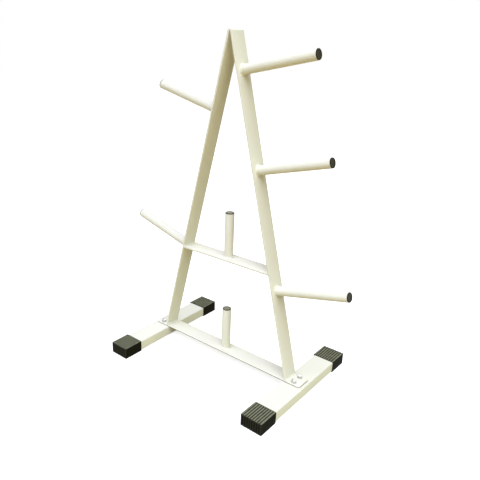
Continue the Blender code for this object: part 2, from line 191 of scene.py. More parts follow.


# %% [markdown]
# The powder coat.
#
# The steel is sprayed with ivory powder and baked. The film flows as it melts, but never quite
# flat: it keeps a fine orange peel of about two millimetres, and its gloss drifts a little from
# place to place. Both could be painted from an image, but noise in the piece's own metres holds
# the same size on a long bar and on a short post, so noise makes them here.
#
# One line on the rack is darker: painted shade along the lower edge of the base bar. It is the
# only paint at that height, so a band of heights finds it.

# %% Ivory powder coat
IVORY = (0.805, 0.795, 0.660)
IVORY_THIN = (0.785, 0.770, 0.620)
DRIFT_SIZE = 0.06
PEEL_SIZE = 0.0021
PEEL_DEPTH = 0.00010
GRAIN_SIZE = PEEL_SIZE / 5
GRAIN_SHARE = 0.1
COAT_ROUGHNESS = (0.30, 0.38)
GRAIN_ROUGHNESS = 0.04
COAT_SHINE = 0.06
# painted shade: the colour, cover and band of heights of the dark line along the base bar's lower edge
BASE_EDGE_SHADE = (0.310, 0.295, 0.280)
BASE_EDGE_SHADE_COVER = (0.7, 1.3)
BASE_EDGE_SHADE_HEIGHT = 0.0030
BASE_EDGE_SHADE_FADE_UP = 0.0012
BASE_EDGE_SHADE_FADE_DOWN = 0.0001
BASE_BOTTOM_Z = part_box("base_bar")[0].z


def powder_coat():
    """Ivory powder on steel: orange peel, and a slow drift in tone and gloss."""
    finish = new_finish("ivory_powder_coat")
    drift = finish.noise(DRIFT_SIZE, detail=3.0)
    peel = finish.noise(PEEL_SIZE, detail=1.0)
    grain = finish.noise(GRAIN_SIZE)
    height = finish.along("Z", finish.place())
    # painted shade, laid in a band of heights along the base bar's lower edge
    above = finish.clamped((height - BASE_BOTTOM_Z) * (1 / BASE_EDGE_SHADE_FADE_DOWN) + 1.0)
    below = finish.clamped((BASE_BOTTOM_Z + BASE_EDGE_SHADE_HEIGHT - height) * (1 / BASE_EDGE_SHADE_FADE_UP))
    edge_shade = finish.clamped(above * below * finish.between(drift, *BASE_EDGE_SHADE_COVER))
    ivory = finish.blend(drift, tint(*IVORY_THIN), tint(*IVORY))
    return finish.surface(
        Base_Color=finish.blend(edge_shade, ivory, tint(*BASE_EDGE_SHADE)),
        Roughness=finish.between(drift, *COAT_ROUGHNESS) + grain * GRAIN_ROUGHNESS,
        Normal=finish.bump(peel + grain * GRAIN_SHARE, PEEL_DEPTH),
        Specular_IOR_Level=COAT_SHINE,
    )


COAT = powder_coat()


# %% [markdown]
# The plugs' plastic.
#
# The plugs are moulded polyethylene, eroded to a fine matt grain. Those on the posts face up and
# hold a little dust. It could be painted on them alone, but every plug has the same finish, so
# the dust is one more colour, laid on by how level the surface is.

# %% Plug plastic
PLUG_BLACK = (0.012, 0.010, 0.004)
PLUG_GREY = (0.030, 0.025, 0.010)
PLUG_DUST = (0.240, 0.230, 0.150)
PLUG_DUST_COVER = (0.6, 1.2)
PLUG_HAZE_SIZE = 0.006
PLUG_GRAIN_SIZE = 0.0005
PLUG_GRAIN_DEPTH = 0.00006
PLUG_ROUGHNESS = (0.42, 0.54)
PLUG_SHINE = 0.1
LEVEL_LIMIT = radians(16)


def plug_plastic():
    """Black plastic with the fine eroded grain of its mould."""
    finish = new_finish("black_plug_plastic")
    grain = finish.noise(PLUG_GRAIN_SIZE, detail=3.0)
    haze = finish.noise(PLUG_HAZE_SIZE)
    bare = finish.blend(haze, tint(*PLUG_BLACK), tint(*PLUG_GREY))
    dust_and_sheen = finish.clamped(finish.facing_up(LEVEL_LIMIT) * finish.between(haze, *PLUG_DUST_COVER))
    return finish.surface(
        Base_Color=finish.blend(dust_and_sheen, bare, tint(*PLUG_DUST)),
        Roughness=finish.between(haze, *PLUG_ROUGHNESS),
        Normal=finish.bump(grain, PLUG_GRAIN_DEPTH),
        Specular_IOR_Level=PLUG_SHINE,
    )


PLASTIC = plug_plastic()


# %% [markdown]
# The caps' rubber.
#
# The caps are a rubbery plastic, darker and duller than the plugs, with nine ribs. Their level
# crests are lighter, from dust and a painted sheen, and the sloping sides of the grooves a little
# less, so how far a surface leans tells how much of it there is. On the end faces a painted
# highlight lies along the crests. Each cap's mesh carries a number, how far across the cap a
# point is, and a cosine of it finds the crests there.

# %% Cap rubber
CAP_BLACK = (0.010, 0.0095, 0.005)
# dust and painted sheen: the lighter colour of level crests, its cover, and its share on slopes
CAP_DUST_AND_SHEEN = (0.205, 0.208, 0.130)
CAP_DUST_AND_SHEEN_COVER = (0.15, 1.25)
CAP_SLOPE_SHARE = 0.35
CAP_SLOPE_STEEP = radians(65)
# painted highlight on the rib crests of the end faces, and how it varies
CAP_CREST_HIGHLIGHT = (0.030, 0.029, 0.020)
CAP_CREST_HIGHLIGHT_COVER = (0.4, 1.6)
CAP_PATCH_SIZE = 0.012
CAP_GRAIN_SIZE = 0.0009
CAP_GRAIN_DEPTH = 0.00004
CAP_ROUGHNESS = (0.44, 0.60)
CAP_SHINE = 0.01
RIB_COUNT = 9
RIB_PITCH = 0.0070


def rib_crests(finish):
    """1 along the crest of each rib, falling to 0 in the grooves."""
    across = finish.node("ShaderNodeAttribute", {"attribute_name": "across"}, output="Fac")
    outer_rib = (RIB_COUNT - 1) / 2 * RIB_PITCH
    ribs = finish.math("MINIMUM", finish.math("ABSOLUTE", across), outer_rib)
    return finish.math("COSINE", ribs * (2 * pi / RIB_PITCH)) * 0.5 + 0.5


def cap_rubber():
    """Black ribbed rubber: dust and painted sheen on top, painted highlights on its ends' crests."""
    finish = new_finish("black_cap_rubber")
    grain = finish.noise(CAP_GRAIN_SIZE, detail=3.0)
    patches = finish.noise(CAP_PATCH_SIZE, detail=4.0, roughness=0.6)
    # dust and painted sheen: level faces turn lighter, and sloping groove sides a little less
    level_share = finish.facing_up(LEVEL_LIMIT) + finish.facing_up(CAP_SLOPE_STEEP) * CAP_SLOPE_SHARE
    dust_and_sheen = finish.clamped(level_share * finish.between(patches, *CAP_DUST_AND_SHEEN_COVER))
    crest = rib_crests(finish)
    # painted highlight: the crests of the ribs on the end faces are lighter
    ends = finish.math("ABSOLUTE", finish.facing("Y"))
    crest_highlight = finish.clamped(crest * crest * ends * finish.between(patches, *CAP_CREST_HIGHLIGHT_COVER))
    black_and_highlight = finish.blend(crest_highlight, tint(*CAP_BLACK), tint(*CAP_CREST_HIGHLIGHT))
    return finish.surface(
        Base_Color=finish.blend(dust_and_sheen, black_and_highlight, tint(*CAP_DUST_AND_SHEEN)),
        Roughness=finish.between(patches, *CAP_ROUGHNESS),
        Normal=finish.bump(grain, CAP_GRAIN_DEPTH),
        Specular_IOR_Level=CAP_SHINE,
    )


RUBBER = cap_rubber()


# %% [markdown]
# Zinc plate.
#
# The bolts and washers are zinc plated, a bright metal with a cool and a faintly yellow tone
# that wander over each other. Its fine marks run one way, so their noise is squeezed along Z,
# and the same marks scatter the gloss and lift the surface.

# %% Zinc plate
ZINC_COOL = (0.50, 0.51, 0.52)
ZINC_WARM = (0.60, 0.59, 0.53)
ZINC_TONE_SIZE = 0.004
ZINC_MARK_SIZE = 0.0007
ZINC_MARK_SQUEEZE = (1, 1, 6)
ZINC_MARK_DEPTH = 0.00003
ZINC_ROUGHNESS = (0.26, 0.42)


def zinc_plate():
    """Bright zinc with a wandering tone and fine marks."""
    finish = new_finish("zinc_plate")
    tone = finish.noise(ZINC_TONE_SIZE, detail=3.0)
    marks = finish.noise(ZINC_MARK_SIZE, stretch=ZINC_MARK_SQUEEZE)
    return finish.surface(
        Base_Color=finish.blend(tone, tint(*ZINC_COOL), tint(*ZINC_WARM)),
        Metallic=1.0,
        Roughness=finish.between(marks, *ZINC_ROUGHNESS),
        Normal=finish.bump(marks, ZINC_MARK_DEPTH),
    )


ZINC = zinc_plate()


# %% [markdown]
# From a bmesh to a piece.
#
# Every piece is shaped near the origin and then moved in its mesh, so that the object itself
# stays at the origin, unturned and unscaled, as the solids do. A piece that stands for a solid
# hides it, and how far their boxes differ is printed, as a fitter would hold a rule to it.

# %% Making pieces
SMOOTH_BELOW = radians(32)


def as_object(shape, name):
    """Turn a bmesh into an object of the scene."""
    mesh = bpy.data.meshes.new(name)
    shape.to_mesh(mesh)
    shape.free()
    made = bpy.data.objects.new(name, mesh)
    bpy.context.scene.collection.objects.link(made)
    return made


def finished(shape, name, material, solid=None, place=None):
    """Turn a bmesh into a piece of the rack."""
    if place:
        bmesh.ops.transform(shape, matrix=place, verts=shape.verts)
    bmesh.ops.recalc_face_normals(shape, faces=shape.faces)
    piece = as_object(shape, name)
    mesh = piece.data
    mesh.materials.append(material)
    mesh.shade_smooth()
    mesh.set_sharp_from_angle(angle=SMOOTH_BELOW)
    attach(piece, "root")
    if solid:
        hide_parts(solid)
        print(f"{name}: {len(mesh.polygons)} faces, {misfit(mesh, solid) * 1000:.2f} mm off")


def misfit(mesh, solid):
    """The largest difference between a mesh's box and a solid's box."""
    low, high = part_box(solid)
    places = [vert.co for vert in mesh.vertices]
    gaps = []
    for axis in range(3):
        gaps.append(abs(min(place[axis] for place in places) - low[axis]))
        gaps.append(abs(max(place[axis] for place in places) - high[axis]))
    return max(gaps)


print(f"edges below {degrees(SMOOTH_BELOW):.0f} degrees will shade smooth")


# %% [markdown]
# A few workshop moves.
#
# Nearly every piece is made by the same moves as in the shop: pull a section out, bend it, turn
# it, round its edges, saw it off, drill it. Each is a short function over one of Blender's own
# operators. Holes and pockets are cut by a boolean, which needs closed shapes whose faces all
# look outward, so the faces are turned outward just before the cut.

# %% Workshop moves
MERGE = 0.000002


def only(kind, items):
    """The items of one kind in what an operator gave back."""
    return [item for item in items if isinstance(item, kind)]


def moved(shape, x=0.0, y=0.0, z=0.0):
    """Move a whole bmesh."""
    bmesh.ops.translate(shape, vec=(x, y, z), verts=shape.verts)
    return shape


def tipped(shape, angle, axis):
    """Turn a whole bmesh about an axis through the origin."""
    bmesh.ops.rotate(shape, cent=(0, 0, 0), matrix=Matrix.Rotation(angle, 3, axis), verts=shape.verts)
    return shape


def rounded(shape, items, radius, steps, affect="EDGES"):
    """Round some edges of a bmesh, or some corners of a flat one."""
    bmesh.ops.bevel(
        shape, geom=items, offset=radius, segments=steps, profile=0.5, affect=affect, material=-1
    )
    return shape


def level_edges(shape):
    """The edges that lie level, which are the rims of something pulled up along Z."""
    return [edge for edge in shape.edges if abs(edge.verts[0].co.z - edge.verts[1].co.z) < MERGE]


def pulled(shape, faces, way):
    """Extrude faces along a vector and give back the far ones."""
    result = bmesh.ops.extrude_face_region(shape, geom=faces)["geom"]
    bmesh.ops.translate(shape, vec=way, verts=only(bmesh.types.BMVert, result))
    return only(bmesh.types.BMFace, result)


def bent(shape, faces, centre, axis, angle, steps):
    """Spin faces over a bend, leave no wall inside it and give back the far ones."""
    result = bmesh.ops.spin(
        shape, geom=faces, cent=centre, axis=axis, angle=angle, steps=steps
    )["geom_last"]
    bmesh.ops.delete(shape, geom=faces, context="FACES_ONLY")
    return only(bmesh.types.BMFace, result)


def sawn(shape, point, outward):
    """Cut a bmesh off beyond a plane and close the cut."""
    everything = shape.verts[:] + shape.edges[:] + shape.faces[:]
    cut = bmesh.ops.bisect_plane(
        shape, geom=everything, plane_co=point, plane_no=outward, clear_outer=True
    )["geom_cut"]
    bmesh.ops.contextual_create(shape, geom=only(bmesh.types.BMEdge, cut))


def combined(operation, shape, tools):
    """Cut, join or intersect one bmesh with others that stand apart."""
    together = bmesh.new()
    for tool in tools:
        mesh = bpy.data.meshes.new("tool")
        tool.to_mesh(mesh)
        tool.free()
        together.from_mesh(mesh)
        bpy.data.meshes.remove(mesh)
    for part in (shape, together):
        bmesh.ops.recalc_face_normals(part, faces=part.faces)
    pair = [as_object(shape, "shape"), as_object(together, "tools")]
    boolean = pair[0].modifiers.new("combine", "BOOLEAN")
    boolean.operation = operation
    boolean.solver = "EXACT"
    boolean.object = pair[1]
    result = bmesh.new()
    result.from_object(pair[0], bpy.context.evaluated_depsgraph_get())
    for part in pair:
        mesh = part.data
        bpy.data.objects.remove(part)
        bpy.data.meshes.remove(mesh)
    bmesh.ops.remove_doubles(result, verts=result.verts, dist=MERGE)
    bmesh.ops.dissolve_degenerate(result, edges=result.edges, dist=MERGE)
    return result


print(f"points closer than {MERGE * 1000:.3f} mm will merge")


# %% [markdown]
# Flat bar, folded.
#
# The A-frame is one length of 50 x 5 mm bar. It could be an outline pulled out to the bar's
# width, but a smith starts from the section and bends it, and the operators can do the same:
# round the section's corners as the rolling mill does, pull one leg out of it, spin it over
# the bend, pull the other leg, and saw both feet level.

# %% The bar and its bend
BAR_WIDTH = 0.050
BAR_THICK = 0.005
BAR_EDGE = 0.0007
EDGE_STEPS = 3
BEND_RADIUS = 0.0062
BEND_STEPS = 28
APEX_Z = 0.948
LEG_FOOT_X = 0.227

BASE_TOP_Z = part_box("base_bar")[1].z
FRAME_X = sum(corner.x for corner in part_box("a_frame")) / 2
LEG_FOOT_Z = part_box("a_frame")[0].z
LEAN = atan2(LEG_FOOT_X, APEX_Z - BASE_TOP_Z)
print(f"the legs lean {degrees(LEAN):.2f} degrees, and the middle is at {FRAME_X * 1000:.2f} mm")


def rectangle(width, height):
    """A flat rectangle around the origin, scaled from a square of one metre."""
    shape = bmesh.new()
    bmesh.ops.create_grid(shape, x_segments=1, y_segments=1, size=0.5)
    bmesh.ops.scale(shape, vec=(width, height, 1.0), verts=shape.verts)
    return shape


def section(width, height, corner, steps):
    """The same with round corners: what a bar or a tube is pulled from."""
    shape = rectangle(width, height)
    return rounded(shape, shape.verts[:], corner, steps, "VERTICES")


def folded_bar():
    """The A-frame's bar: a leg, the bend and the other leg."""
    shape = section(BAR_THICK, BAR_WIDTH, BAR_EDGE, EDGE_STEPS)
    moved(shape, x=BEND_RADIUS - BAR_THICK / 2)
    start = shape.faces[:]
    length = APEX_Z / cos(LEAN)
    pulled(shape, start, (0.0, 0.0, -length))
    fold = pi - 2 * LEAN
    end = bent(shape, start, (0, 0, 0), (0, 1, 0), -fold, BEND_STEPS)
    pulled(shape, end, Vector((-sin(fold), 0.0, cos(fold))) * length)
    tipped(shape, -LEAN, "Y")
    moved(shape, x=FRAME_X, z=APEX_Z - BEND_RADIUS / sin(LEAN))
    sawn(shape, (0.0, 0.0, LEG_FOOT_Z), (0.0, 0.0, -1.0))
    return shape


finished(folded_bar(), "painted_a_frame", COAT, "a_frame")


# %% [markdown]
# The shelf and the base bar.
#
# The shelf is the same bar, pulled sideways and sawn at both ends to the lean of the legs. The
# base bar is lying down, with round corners in plan, so it starts from its plan instead, and
# four bolt holes are drilled through it. Pieces that touch on the real rack keep the small gap
# that the solids have between them.

# %% Shelf and base bar
GAP = 0.0003
SHELF_TOP_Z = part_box("shelf_bar")[0].z + BAR_THICK
BASE_CORNER = 0.008
BASE_CORNER_STEPS = 10
BOLT_HOLE_RADIUS = 0.0045
FASTENER_STEPS = 48
BOLT_SPOTS = {}
for corner_name in ("left_front", "left_back", "right_front", "right_back"):
    low_corner, high_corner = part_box(f"washer_{corner_name}")
    BOLT_SPOTS[corner_name] = (low_corner + high_corner) / 2


def leg_inner_x(height):
    """Distance of a leg's inner face from the rack's middle at a height."""
    return (APEX_Z - height) * tan(LEAN) - BAR_THICK / cos(LEAN)


def shelf_bar():
    """The shelf, cut to fit between the legs."""
    shape = section(BAR_THICK, BAR_WIDTH, BAR_EDGE, EDGE_STEPS)
    reach = 2 * leg_inner_x(SHELF_TOP_Z - BAR_THICK)
    pulled(shape, shape.faces[:], (0.0, 0.0, reach))
    tipped(shape, pi / 2, "Y")
    moved(shape, x=-reach / 2, z=SHELF_TOP_Z - BAR_THICK / 2)
    for side in (-1, 1):
        face = Vector((side * (leg_inner_x(SHELF_TOP_Z) - GAP), 0.0, SHELF_TOP_Z))
        sawn(shape, face, (side * cos(LEAN), 0.0, sin(LEAN)))
    return moved(shape, x=FRAME_X)


def drill(spot, low_z, high_z):
    """An upright cylinder that cuts a bolt hole."""
    shape = bmesh.new()
    bmesh.ops.create_circle(
        shape, cap_ends=True, radius=BOLT_HOLE_RADIUS, segments=FASTENER_STEPS
    )
    moved(shape, spot.x, spot.y, low_z)
    pulled(shape, shape.faces[:], (0.0, 0.0, high_z - low_z))
    return shape


def base_bar():
    """The bar across the feet, with its four bolt holes."""
    low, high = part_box("base_bar")
    shape = section(high.x - low.x, BAR_WIDTH, BASE_CORNER, BASE_CORNER_STEPS)
    pulled(shape, shape.faces[:], (0.0, 0.0, BAR_THICK))
    rounded(shape, level_edges(shape), BAR_EDGE, EDGE_STEPS)
    moved(shape, x=FRAME_X, z=BASE_BOTTOM_Z)
    drills = [drill(spot, 0.0, 2 * BASE_TOP_Z) for spot in BOLT_SPOTS.values()]
    return combined("DIFFERENCE", shape, drills)


finished(shelf_bar(), "painted_shelf_bar", COAT, "shelf_bar")
finished(base_bar(), "painted_base_bar", COAT, "base_bar")


# %% [markdown]
# Feet of box section.
#
# A box section tube is rolled from strip, so its corners are round outside and inside. The
# section above, inset by the wall and with its core taken out, pulls into the whole tube.

# %% Box section feet
SIDES = {"left": -1, "right": 1}
BOX_WIDTH = 0.060
BOX_HEIGHT = 0.030
BOX_WALL = 0.0015
BOX_CORNER = 0.003
BOX_CORNER_STEPS = 6


def box_section(length):
    """A hollow rectangular tube along Z."""
    shape = section(BOX_WIDTH, BOX_HEIGHT, BOX_CORNER, BOX_CORNER_STEPS)
    core = shape.faces[:]
    for face in core:
        face.normal_update()
    wall = bmesh.ops.inset_individual(
        shape, faces=core, thickness=BOX_WALL, use_even_offset=True
    )["faces"]
    bmesh.ops.delete(shape, geom=core, context="FACES_ONLY")
    pulled(shape, wall, (0.0, 0.0, length))
    return shape


def foot_tube(side_name):
    """One foot, with the two bolt holes in its top wall."""
    low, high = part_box(f"foot_tube_{side_name}")
    middle = (low + high) / 2
    shape = tipped(box_section(high.y - low.y), pi / 2, "X")
    moved(shape, middle.x, high.y, middle.z)
    spots = [spot for name, spot in BOLT_SPOTS.items() if name.startswith(side_name)]
    return combined("DIFFERENCE", shape, [drill(spot, middle.z, BASE_TOP_Z) for spot in spots])


for side_name in SIDES:
    solid = f"foot_tube_{side_name}"
    finished(foot_tube(side_name), f"painted_{solid}", COAT, solid)


# %% [markdown]
# Turned outlines.
#
# Tubes, plugs, washers and bolts are all round about an axis. Blender's own cylinder would do
# for the plainest of them, but it has no broken rim, dish or point. So half of the piece's
# section is drawn beside the axis, the corners that are round on the real piece are rounded,
# and the outline is turned once about Z. What lies on the axis is taken out first.

# %% Turning
def spun(shape, steps):
    """Turn the edges of a flat outline once about Z."""
    bmesh.ops.spin(
        shape, geom=shape.verts[:] + shape.edges[:], cent=(0, 0, 0), axis=(0, 0, 1),
        angle=2 * pi, steps=steps, use_merge=True,
    )
    return shape


def turned(outline, steps, corners=()):
    """Turn an outline of (radius, height) points about Z.

    corners pairs a point's place in the outline with the radius of its round corner.
    """
    shape = bmesh.new()
    verts = [shape.verts.new((radius, 0.0, height)) for radius, height in outline]
    shape.faces.new(verts)
    for place, radius in corners:
        rounded(shape, [verts[place]], radius, EDGE_STEPS, "VERTICES")
    bmesh.ops.delete(shape, geom=shape.faces[:], context="FACES_ONLY")
    on_axis = [edge for edge in shape.edges if all(abs(vert.co.x) < MERGE for vert in edge.verts)]
    bmesh.ops.delete(shape, geom=on_axis, context="EDGES")
    spun(shape, steps)
    bmesh.ops.remove_doubles(shape, verts=shape.verts, dist=MERGE)
    return shape


print(f"round corners have {EDGE_STEPS} steps, and bolts and washers {FASTENER_STEPS} sides")


# %% [markdown]
# Horns and posts.
#
# Each is a length of 26 mm tube, sawn to lie flat on what it is welded to. The horns stand on
# leaning legs at angles of their own. Each could be sawn where it stands, but it is simpler to
# turn a tube upright, shear its foot to the leg's face and carry it there by one matrix. A horn
# is known by its side, the height of its foot on the leg and its rise in degrees, and a post by
# the height that it stands on.

# %% Round tubes
TUBE_RADIUS = 0.013
TUBE_WALL = 0.0015
TUBE_STEPS = 72
TUBE_RIM = 0.0004
HORN_LENGTH = 0.203
POST_LENGTH = 0.1285

HORNS = {
    "horn_right_top": (1, 0.8345, 10.8),
    "horn_right_middle": (1, 0.5925, 13.8),
    "horn_right_low": (1, 0.2795, 13.7),
    "horn_left_upper": (-1, 0.7345, 15.2),
    "horn_left_lower": (-1, 0.3310, 15.8),
}
POSTS = {"shelf_post": SHELF_TOP_Z, "base_post": BASE_TOP_Z}
TUBE_LENGTHS = dict.fromkeys(HORNS, HORN_LENGTH) | dict.fromkeys(POSTS, POST_LENGTH)


def sheared(shape, mitre, below):
    """Slope the foot of an upright shape by an angle, up to a height."""
    for vert in shape.verts:
        if vert.co.z < below:
            vert.co.z += vert.co.x * tan(mitre)
    return shape


def round_tube(length, mitre):
    """A tube along Z with its outer rim broken and its foot sloped."""
    inner = TUBE_RADIUS - TUBE_WALL
    outline = [(inner, 0.0), (TUBE_RADIUS, 0.0), (TUBE_RADIUS, length), (inner, length)]
    return sheared(turned(outline, TUBE_STEPS, [(2, TUBE_RIM)]), mitre, length / 2)


def tube_place(name, out=0.0):
    """The matrix that carries an upright shape to a point along a tube's axis."""
    if name in POSTS:
        return Matrix.Translation((FRAME_X, 0.0, POSTS[name] + GAP + out))
    side, height, rise = HORNS[name]
    rise = radians(rise)
    axis = Vector((side * cos(rise), 0.0, sin(rise)))
    square = Vector((side * cos(LEAN), 0.0, sin(LEAN)))
    foot = Vector((FRAME_X + side * (APEX_Z - height) * tan(LEAN), 0.0, height)) + square * GAP
    turn = Matrix.Rotation(side * (pi / 2 - rise), 4, "Y")
    return Matrix.Translation(foot + axis * out) @ turn


def tube_mitre(name):
    """The angle between a tube's axis and the square to what it stands on."""
    if name in POSTS:
        return 0.0
    side, _, rise = HORNS[name]
    return side * (LEAN - radians(rise))


for name, length in TUBE_LENGTHS.items():
    tube = round_tube(length, tube_mitre(name))
    finished(tube, f"painted_{name}", COAT, name, tube_place(name))


# %% [markdown]
# A weld bead, drop by drop.
#
# The tubes and bars are welded where they meet. A bead is a soft triangle of metal in the
# corner, laid down drop by drop, so it is crossed by crescent ripples less than two millimetres
# apart. Bump alone would leave its outline smooth, so the ripples are in the mesh, and how full
# the bead is at a point follows from how far that point is into its drop.

# %% Bead section and drops
WELD_SIZE = 0.0028
WELD_BULGE = 0.4
WELD_ROOT = 0.001
WELD_SINK = 0.0002
FACE_STEPS = 6
DROP_PITCH = 0.0019
DROP_STEPS = 6
DROP_HEIGHT = 0.10
DROP_POWER = 0.6
DROP_LEVEL = 0.6
CRESCENT = 0.6


def weld_section():
    """The bead's section in X and Z: X runs along the other piece, Z along its own."""
    shape = bmesh.new()
    points = [(-WELD_ROOT, -GAP - WELD_SINK), (WELD_SIZE, -GAP - WELD_SINK)]
    for step in range(FACE_STEPS + 1):
        angle = pi / 2 * step / FACE_STEPS
        flat = 1 / (cos(angle) + sin(angle))
        reach = WELD_SIZE * (flat + (1 - flat) * WELD_BULGE)
        points.append((reach * cos(angle), reach * sin(angle)))
    points.append((-WELD_ROOT, WELD_SIZE))
    shape.faces.new([shape.verts.new((x, 0.0, z)) for x, z in points])
    return shape


def fullness(along, out, up):
    """How full the bead is at a place along it and on its face, from the drop that covers it."""
    across = atan2(max(up, 0.0), out) / (pi / 2)
    into = (along / DROP_PITCH + CRESCENT * (2 * across - 1) ** 2) % 1.0
    return 1.0 + DROP_HEIGHT * (sin(pi * into) ** DROP_POWER - DROP_LEVEL)


print(f"a bead is {WELD_SIZE * 1000:.1f} mm wide, with a drop every {DROP_PITCH * 1000:.1f} mm")


# %% [markdown]
# Laying the beads.
#
# A bead runs around the foot of each tube, along both sides of each leg's foot and along the
# top of each end of the shelf. One section serves them all: it is spun around a tube or pulled
# along a bar in fine steps, and then each point of its face is lifted to its fullness. A bead
# on a bar fades at both ends, where the welder starts and stops.

# %% Weld beads
WELD_SETBACK = 0.002
BEAD_END = 0.25


def straight_bead(length):
    """A bead along Y, with its middle at the origin and both ends rounded off."""
    shape = weld_section()
    steps = round(length / DROP_PITCH * DROP_STEPS)
    bmesh.ops.spin(
        shape, geom=shape.faces[:], cent=(0, 0, 0), axis=(0, 1, 0), angle=0.0,
        dvec=(0.0, length / steps, 0.0), steps=steps,
    )
    for vert in shape.verts:
        x, y, z = vert.co
        if x >= 0.0:
            to_end = min(y, length - y) / WELD_SIZE
            full = fullness(y, x, z) * sqrt(min(1.0, BEAD_END + to_end))
            vert.co.x = x * full
            vert.co.z = z * full if z > 0.0 else z
    return moved(shape, y=-length / 2)


def ring_bead(mitre):
    """A bead around the foot of an upright tube."""
    shape = weld_section()
    bmesh.ops.delete(shape, geom=shape.faces[:], context="FACES_ONLY")
    moved(shape, x=TUBE_RADIUS)
    drops = round(2 * pi * (TUBE_RADIUS + WELD_SIZE / 2) / DROP_PITCH)
    spun(shape, drops * DROP_STEPS)
    for vert in shape.verts:
        x, y, z = vert.co
        around = Vector((x, y, 0.0))
        out = around.length - TUBE_RADIUS
        if out >= 0.0:
            full = fullness(atan2(y, x) / (2 * pi) * drops * DROP_PITCH, out, z)
            around *= (TUBE_RADIUS + out * full) / around.length
            vert.co = (around.x, around.y, z * full if z > 0.0 else z)
    return sheared(shape, mitre, 2 * WELD_SIZE)


def seam(corner, other, own):
    """The matrix that lays a straight bead, given directions along the other and its own piece."""
    turn = Matrix((other, own.cross(other), own)).transposed().to_4x4()
    return Matrix.Translation(corner) @ turn


for name in TUBE_LENGTHS:
    bead = ring_bead(tube_mitre(name))
    finished(bead, f"weld_{name}", COAT, place=tube_place(name))

for side_name, side in SIDES.items():
    up_leg = Vector((-side * sin(LEAN), 0.0, cos(LEAN)))
    outward = Vector((side, 0.0, 0.0))
    outer_x = (APEX_Z - LEG_FOOT_Z) * tan(LEAN)
    inner_x = leg_inner_x(LEG_FOOT_Z)
    shelf_x = leg_inner_x(SHELF_TOP_Z) - GAP
    seams = {
        f"weld_leg_{side_name}_outside": (outer_x, LEG_FOOT_Z, outward, up_leg),
        f"weld_leg_{side_name}_inside": (inner_x, LEG_FOOT_Z, -outward, up_leg),
        f"weld_shelf_{side_name}": (shelf_x, SHELF_TOP_Z, up_leg, -outward),
    }
    for name, (reach, height, other, own) in seams.items():
        place = seam(Vector((FRAME_X + side * reach, 0.0, height)), other, own)
        bead = straight_bead(BAR_WIDTH - 2 * WELD_SETBACK)
        finished(bead, name, COAT, place=place)


# %% [markdown]
# Plugs in the tubes.
#
# A moulded plug closes the end of each tube: a flange a little smaller than the tube, dished in
# the middle, on a hollow stem. It is one outline turned about its axis, with a round on each
# corner that a mould would round.

# %% Plugs
PLUG_RADIUS = 0.0127
PLUG_FLANGE = 0.0022
PLUG_RIM = 0.0009
PLUG_FOOT_RIM = 0.0002
PLUG_DISH_RADIUS = 0.0092
PLUG_DISH_DEPTH = 0.0005
PLUG_DISH_RIM = 0.0003
PLUG_WEB = 0.0010
PLUG_STEM = 0.013
PLUG_STEM_WALL = 0.0015
PLUG_LEAD = 0.0008


def plug():
    """A tube plug whose flange sits on Z = 0."""
    stem = TUBE_RADIUS - TUBE_WALL - GAP
    dish_z = PLUG_FLANGE - PLUG_DISH_DEPTH
    outline = [
        (0.0, dish_z),
        (PLUG_DISH_RADIUS - PLUG_DISH_DEPTH, dish_z),
        (PLUG_DISH_RADIUS, PLUG_FLANGE),
        (PLUG_RADIUS, PLUG_FLANGE),
        (PLUG_RADIUS, 0.0),
        (stem, 0.0),
        (stem, PLUG_LEAD - PLUG_STEM),
        (stem - PLUG_LEAD, -PLUG_STEM),
        (stem - PLUG_STEM_WALL, -PLUG_STEM),
        (stem - PLUG_STEM_WALL, -PLUG_WEB),
        (0.0, -PLUG_WEB),
    ]
    corners = [(1, PLUG_DISH_RIM), (2, PLUG_DISH_RIM), (3, PLUG_RIM), (4, PLUG_FOOT_RIM)]
    return turned(outline, TUBE_STEPS, corners)


for name, length in TUBE_LENGTHS.items():
    solid = f"plug_{name.removeprefix('horn_')}"
    place = tube_place(name, length + GAP)
    finished(plug(), f"moulded_{solid}", PLASTIC, solid, place)


# %% [markdown]
# Ribbed caps on the feet.
#
# The caps are the rack's finest moulding: nine round ribs run along the roof, over the rim and
# down the end face, so that a bare foot or a rolling dumbbell meets rubber and not an edge. The
# ribs could be added to a plain cap, but then each would need ends that melt into it. So the
# cap is made to the height of its ribs, and each valley between two of them is one cutter that
# takes the same road: pulled along the roof, spun over the rim, pulled down the face.

# %% Groove cutters
CAP_LENGTH = 0.064
CAP_RIM = 0.0012
CAP_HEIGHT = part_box("foot_cap_left_front")[1].z
RIM_STEPS = 6
GROOVE_COUNT = RIB_COUNT - 1
GROOVE_WIDTH = 0.0066
GROOVE_DEPTH = 0.0012
GROOVE_LIFT = 0.0001
GROOVE_STEPS = 6
GROOVE_STOP_Z = 0.004


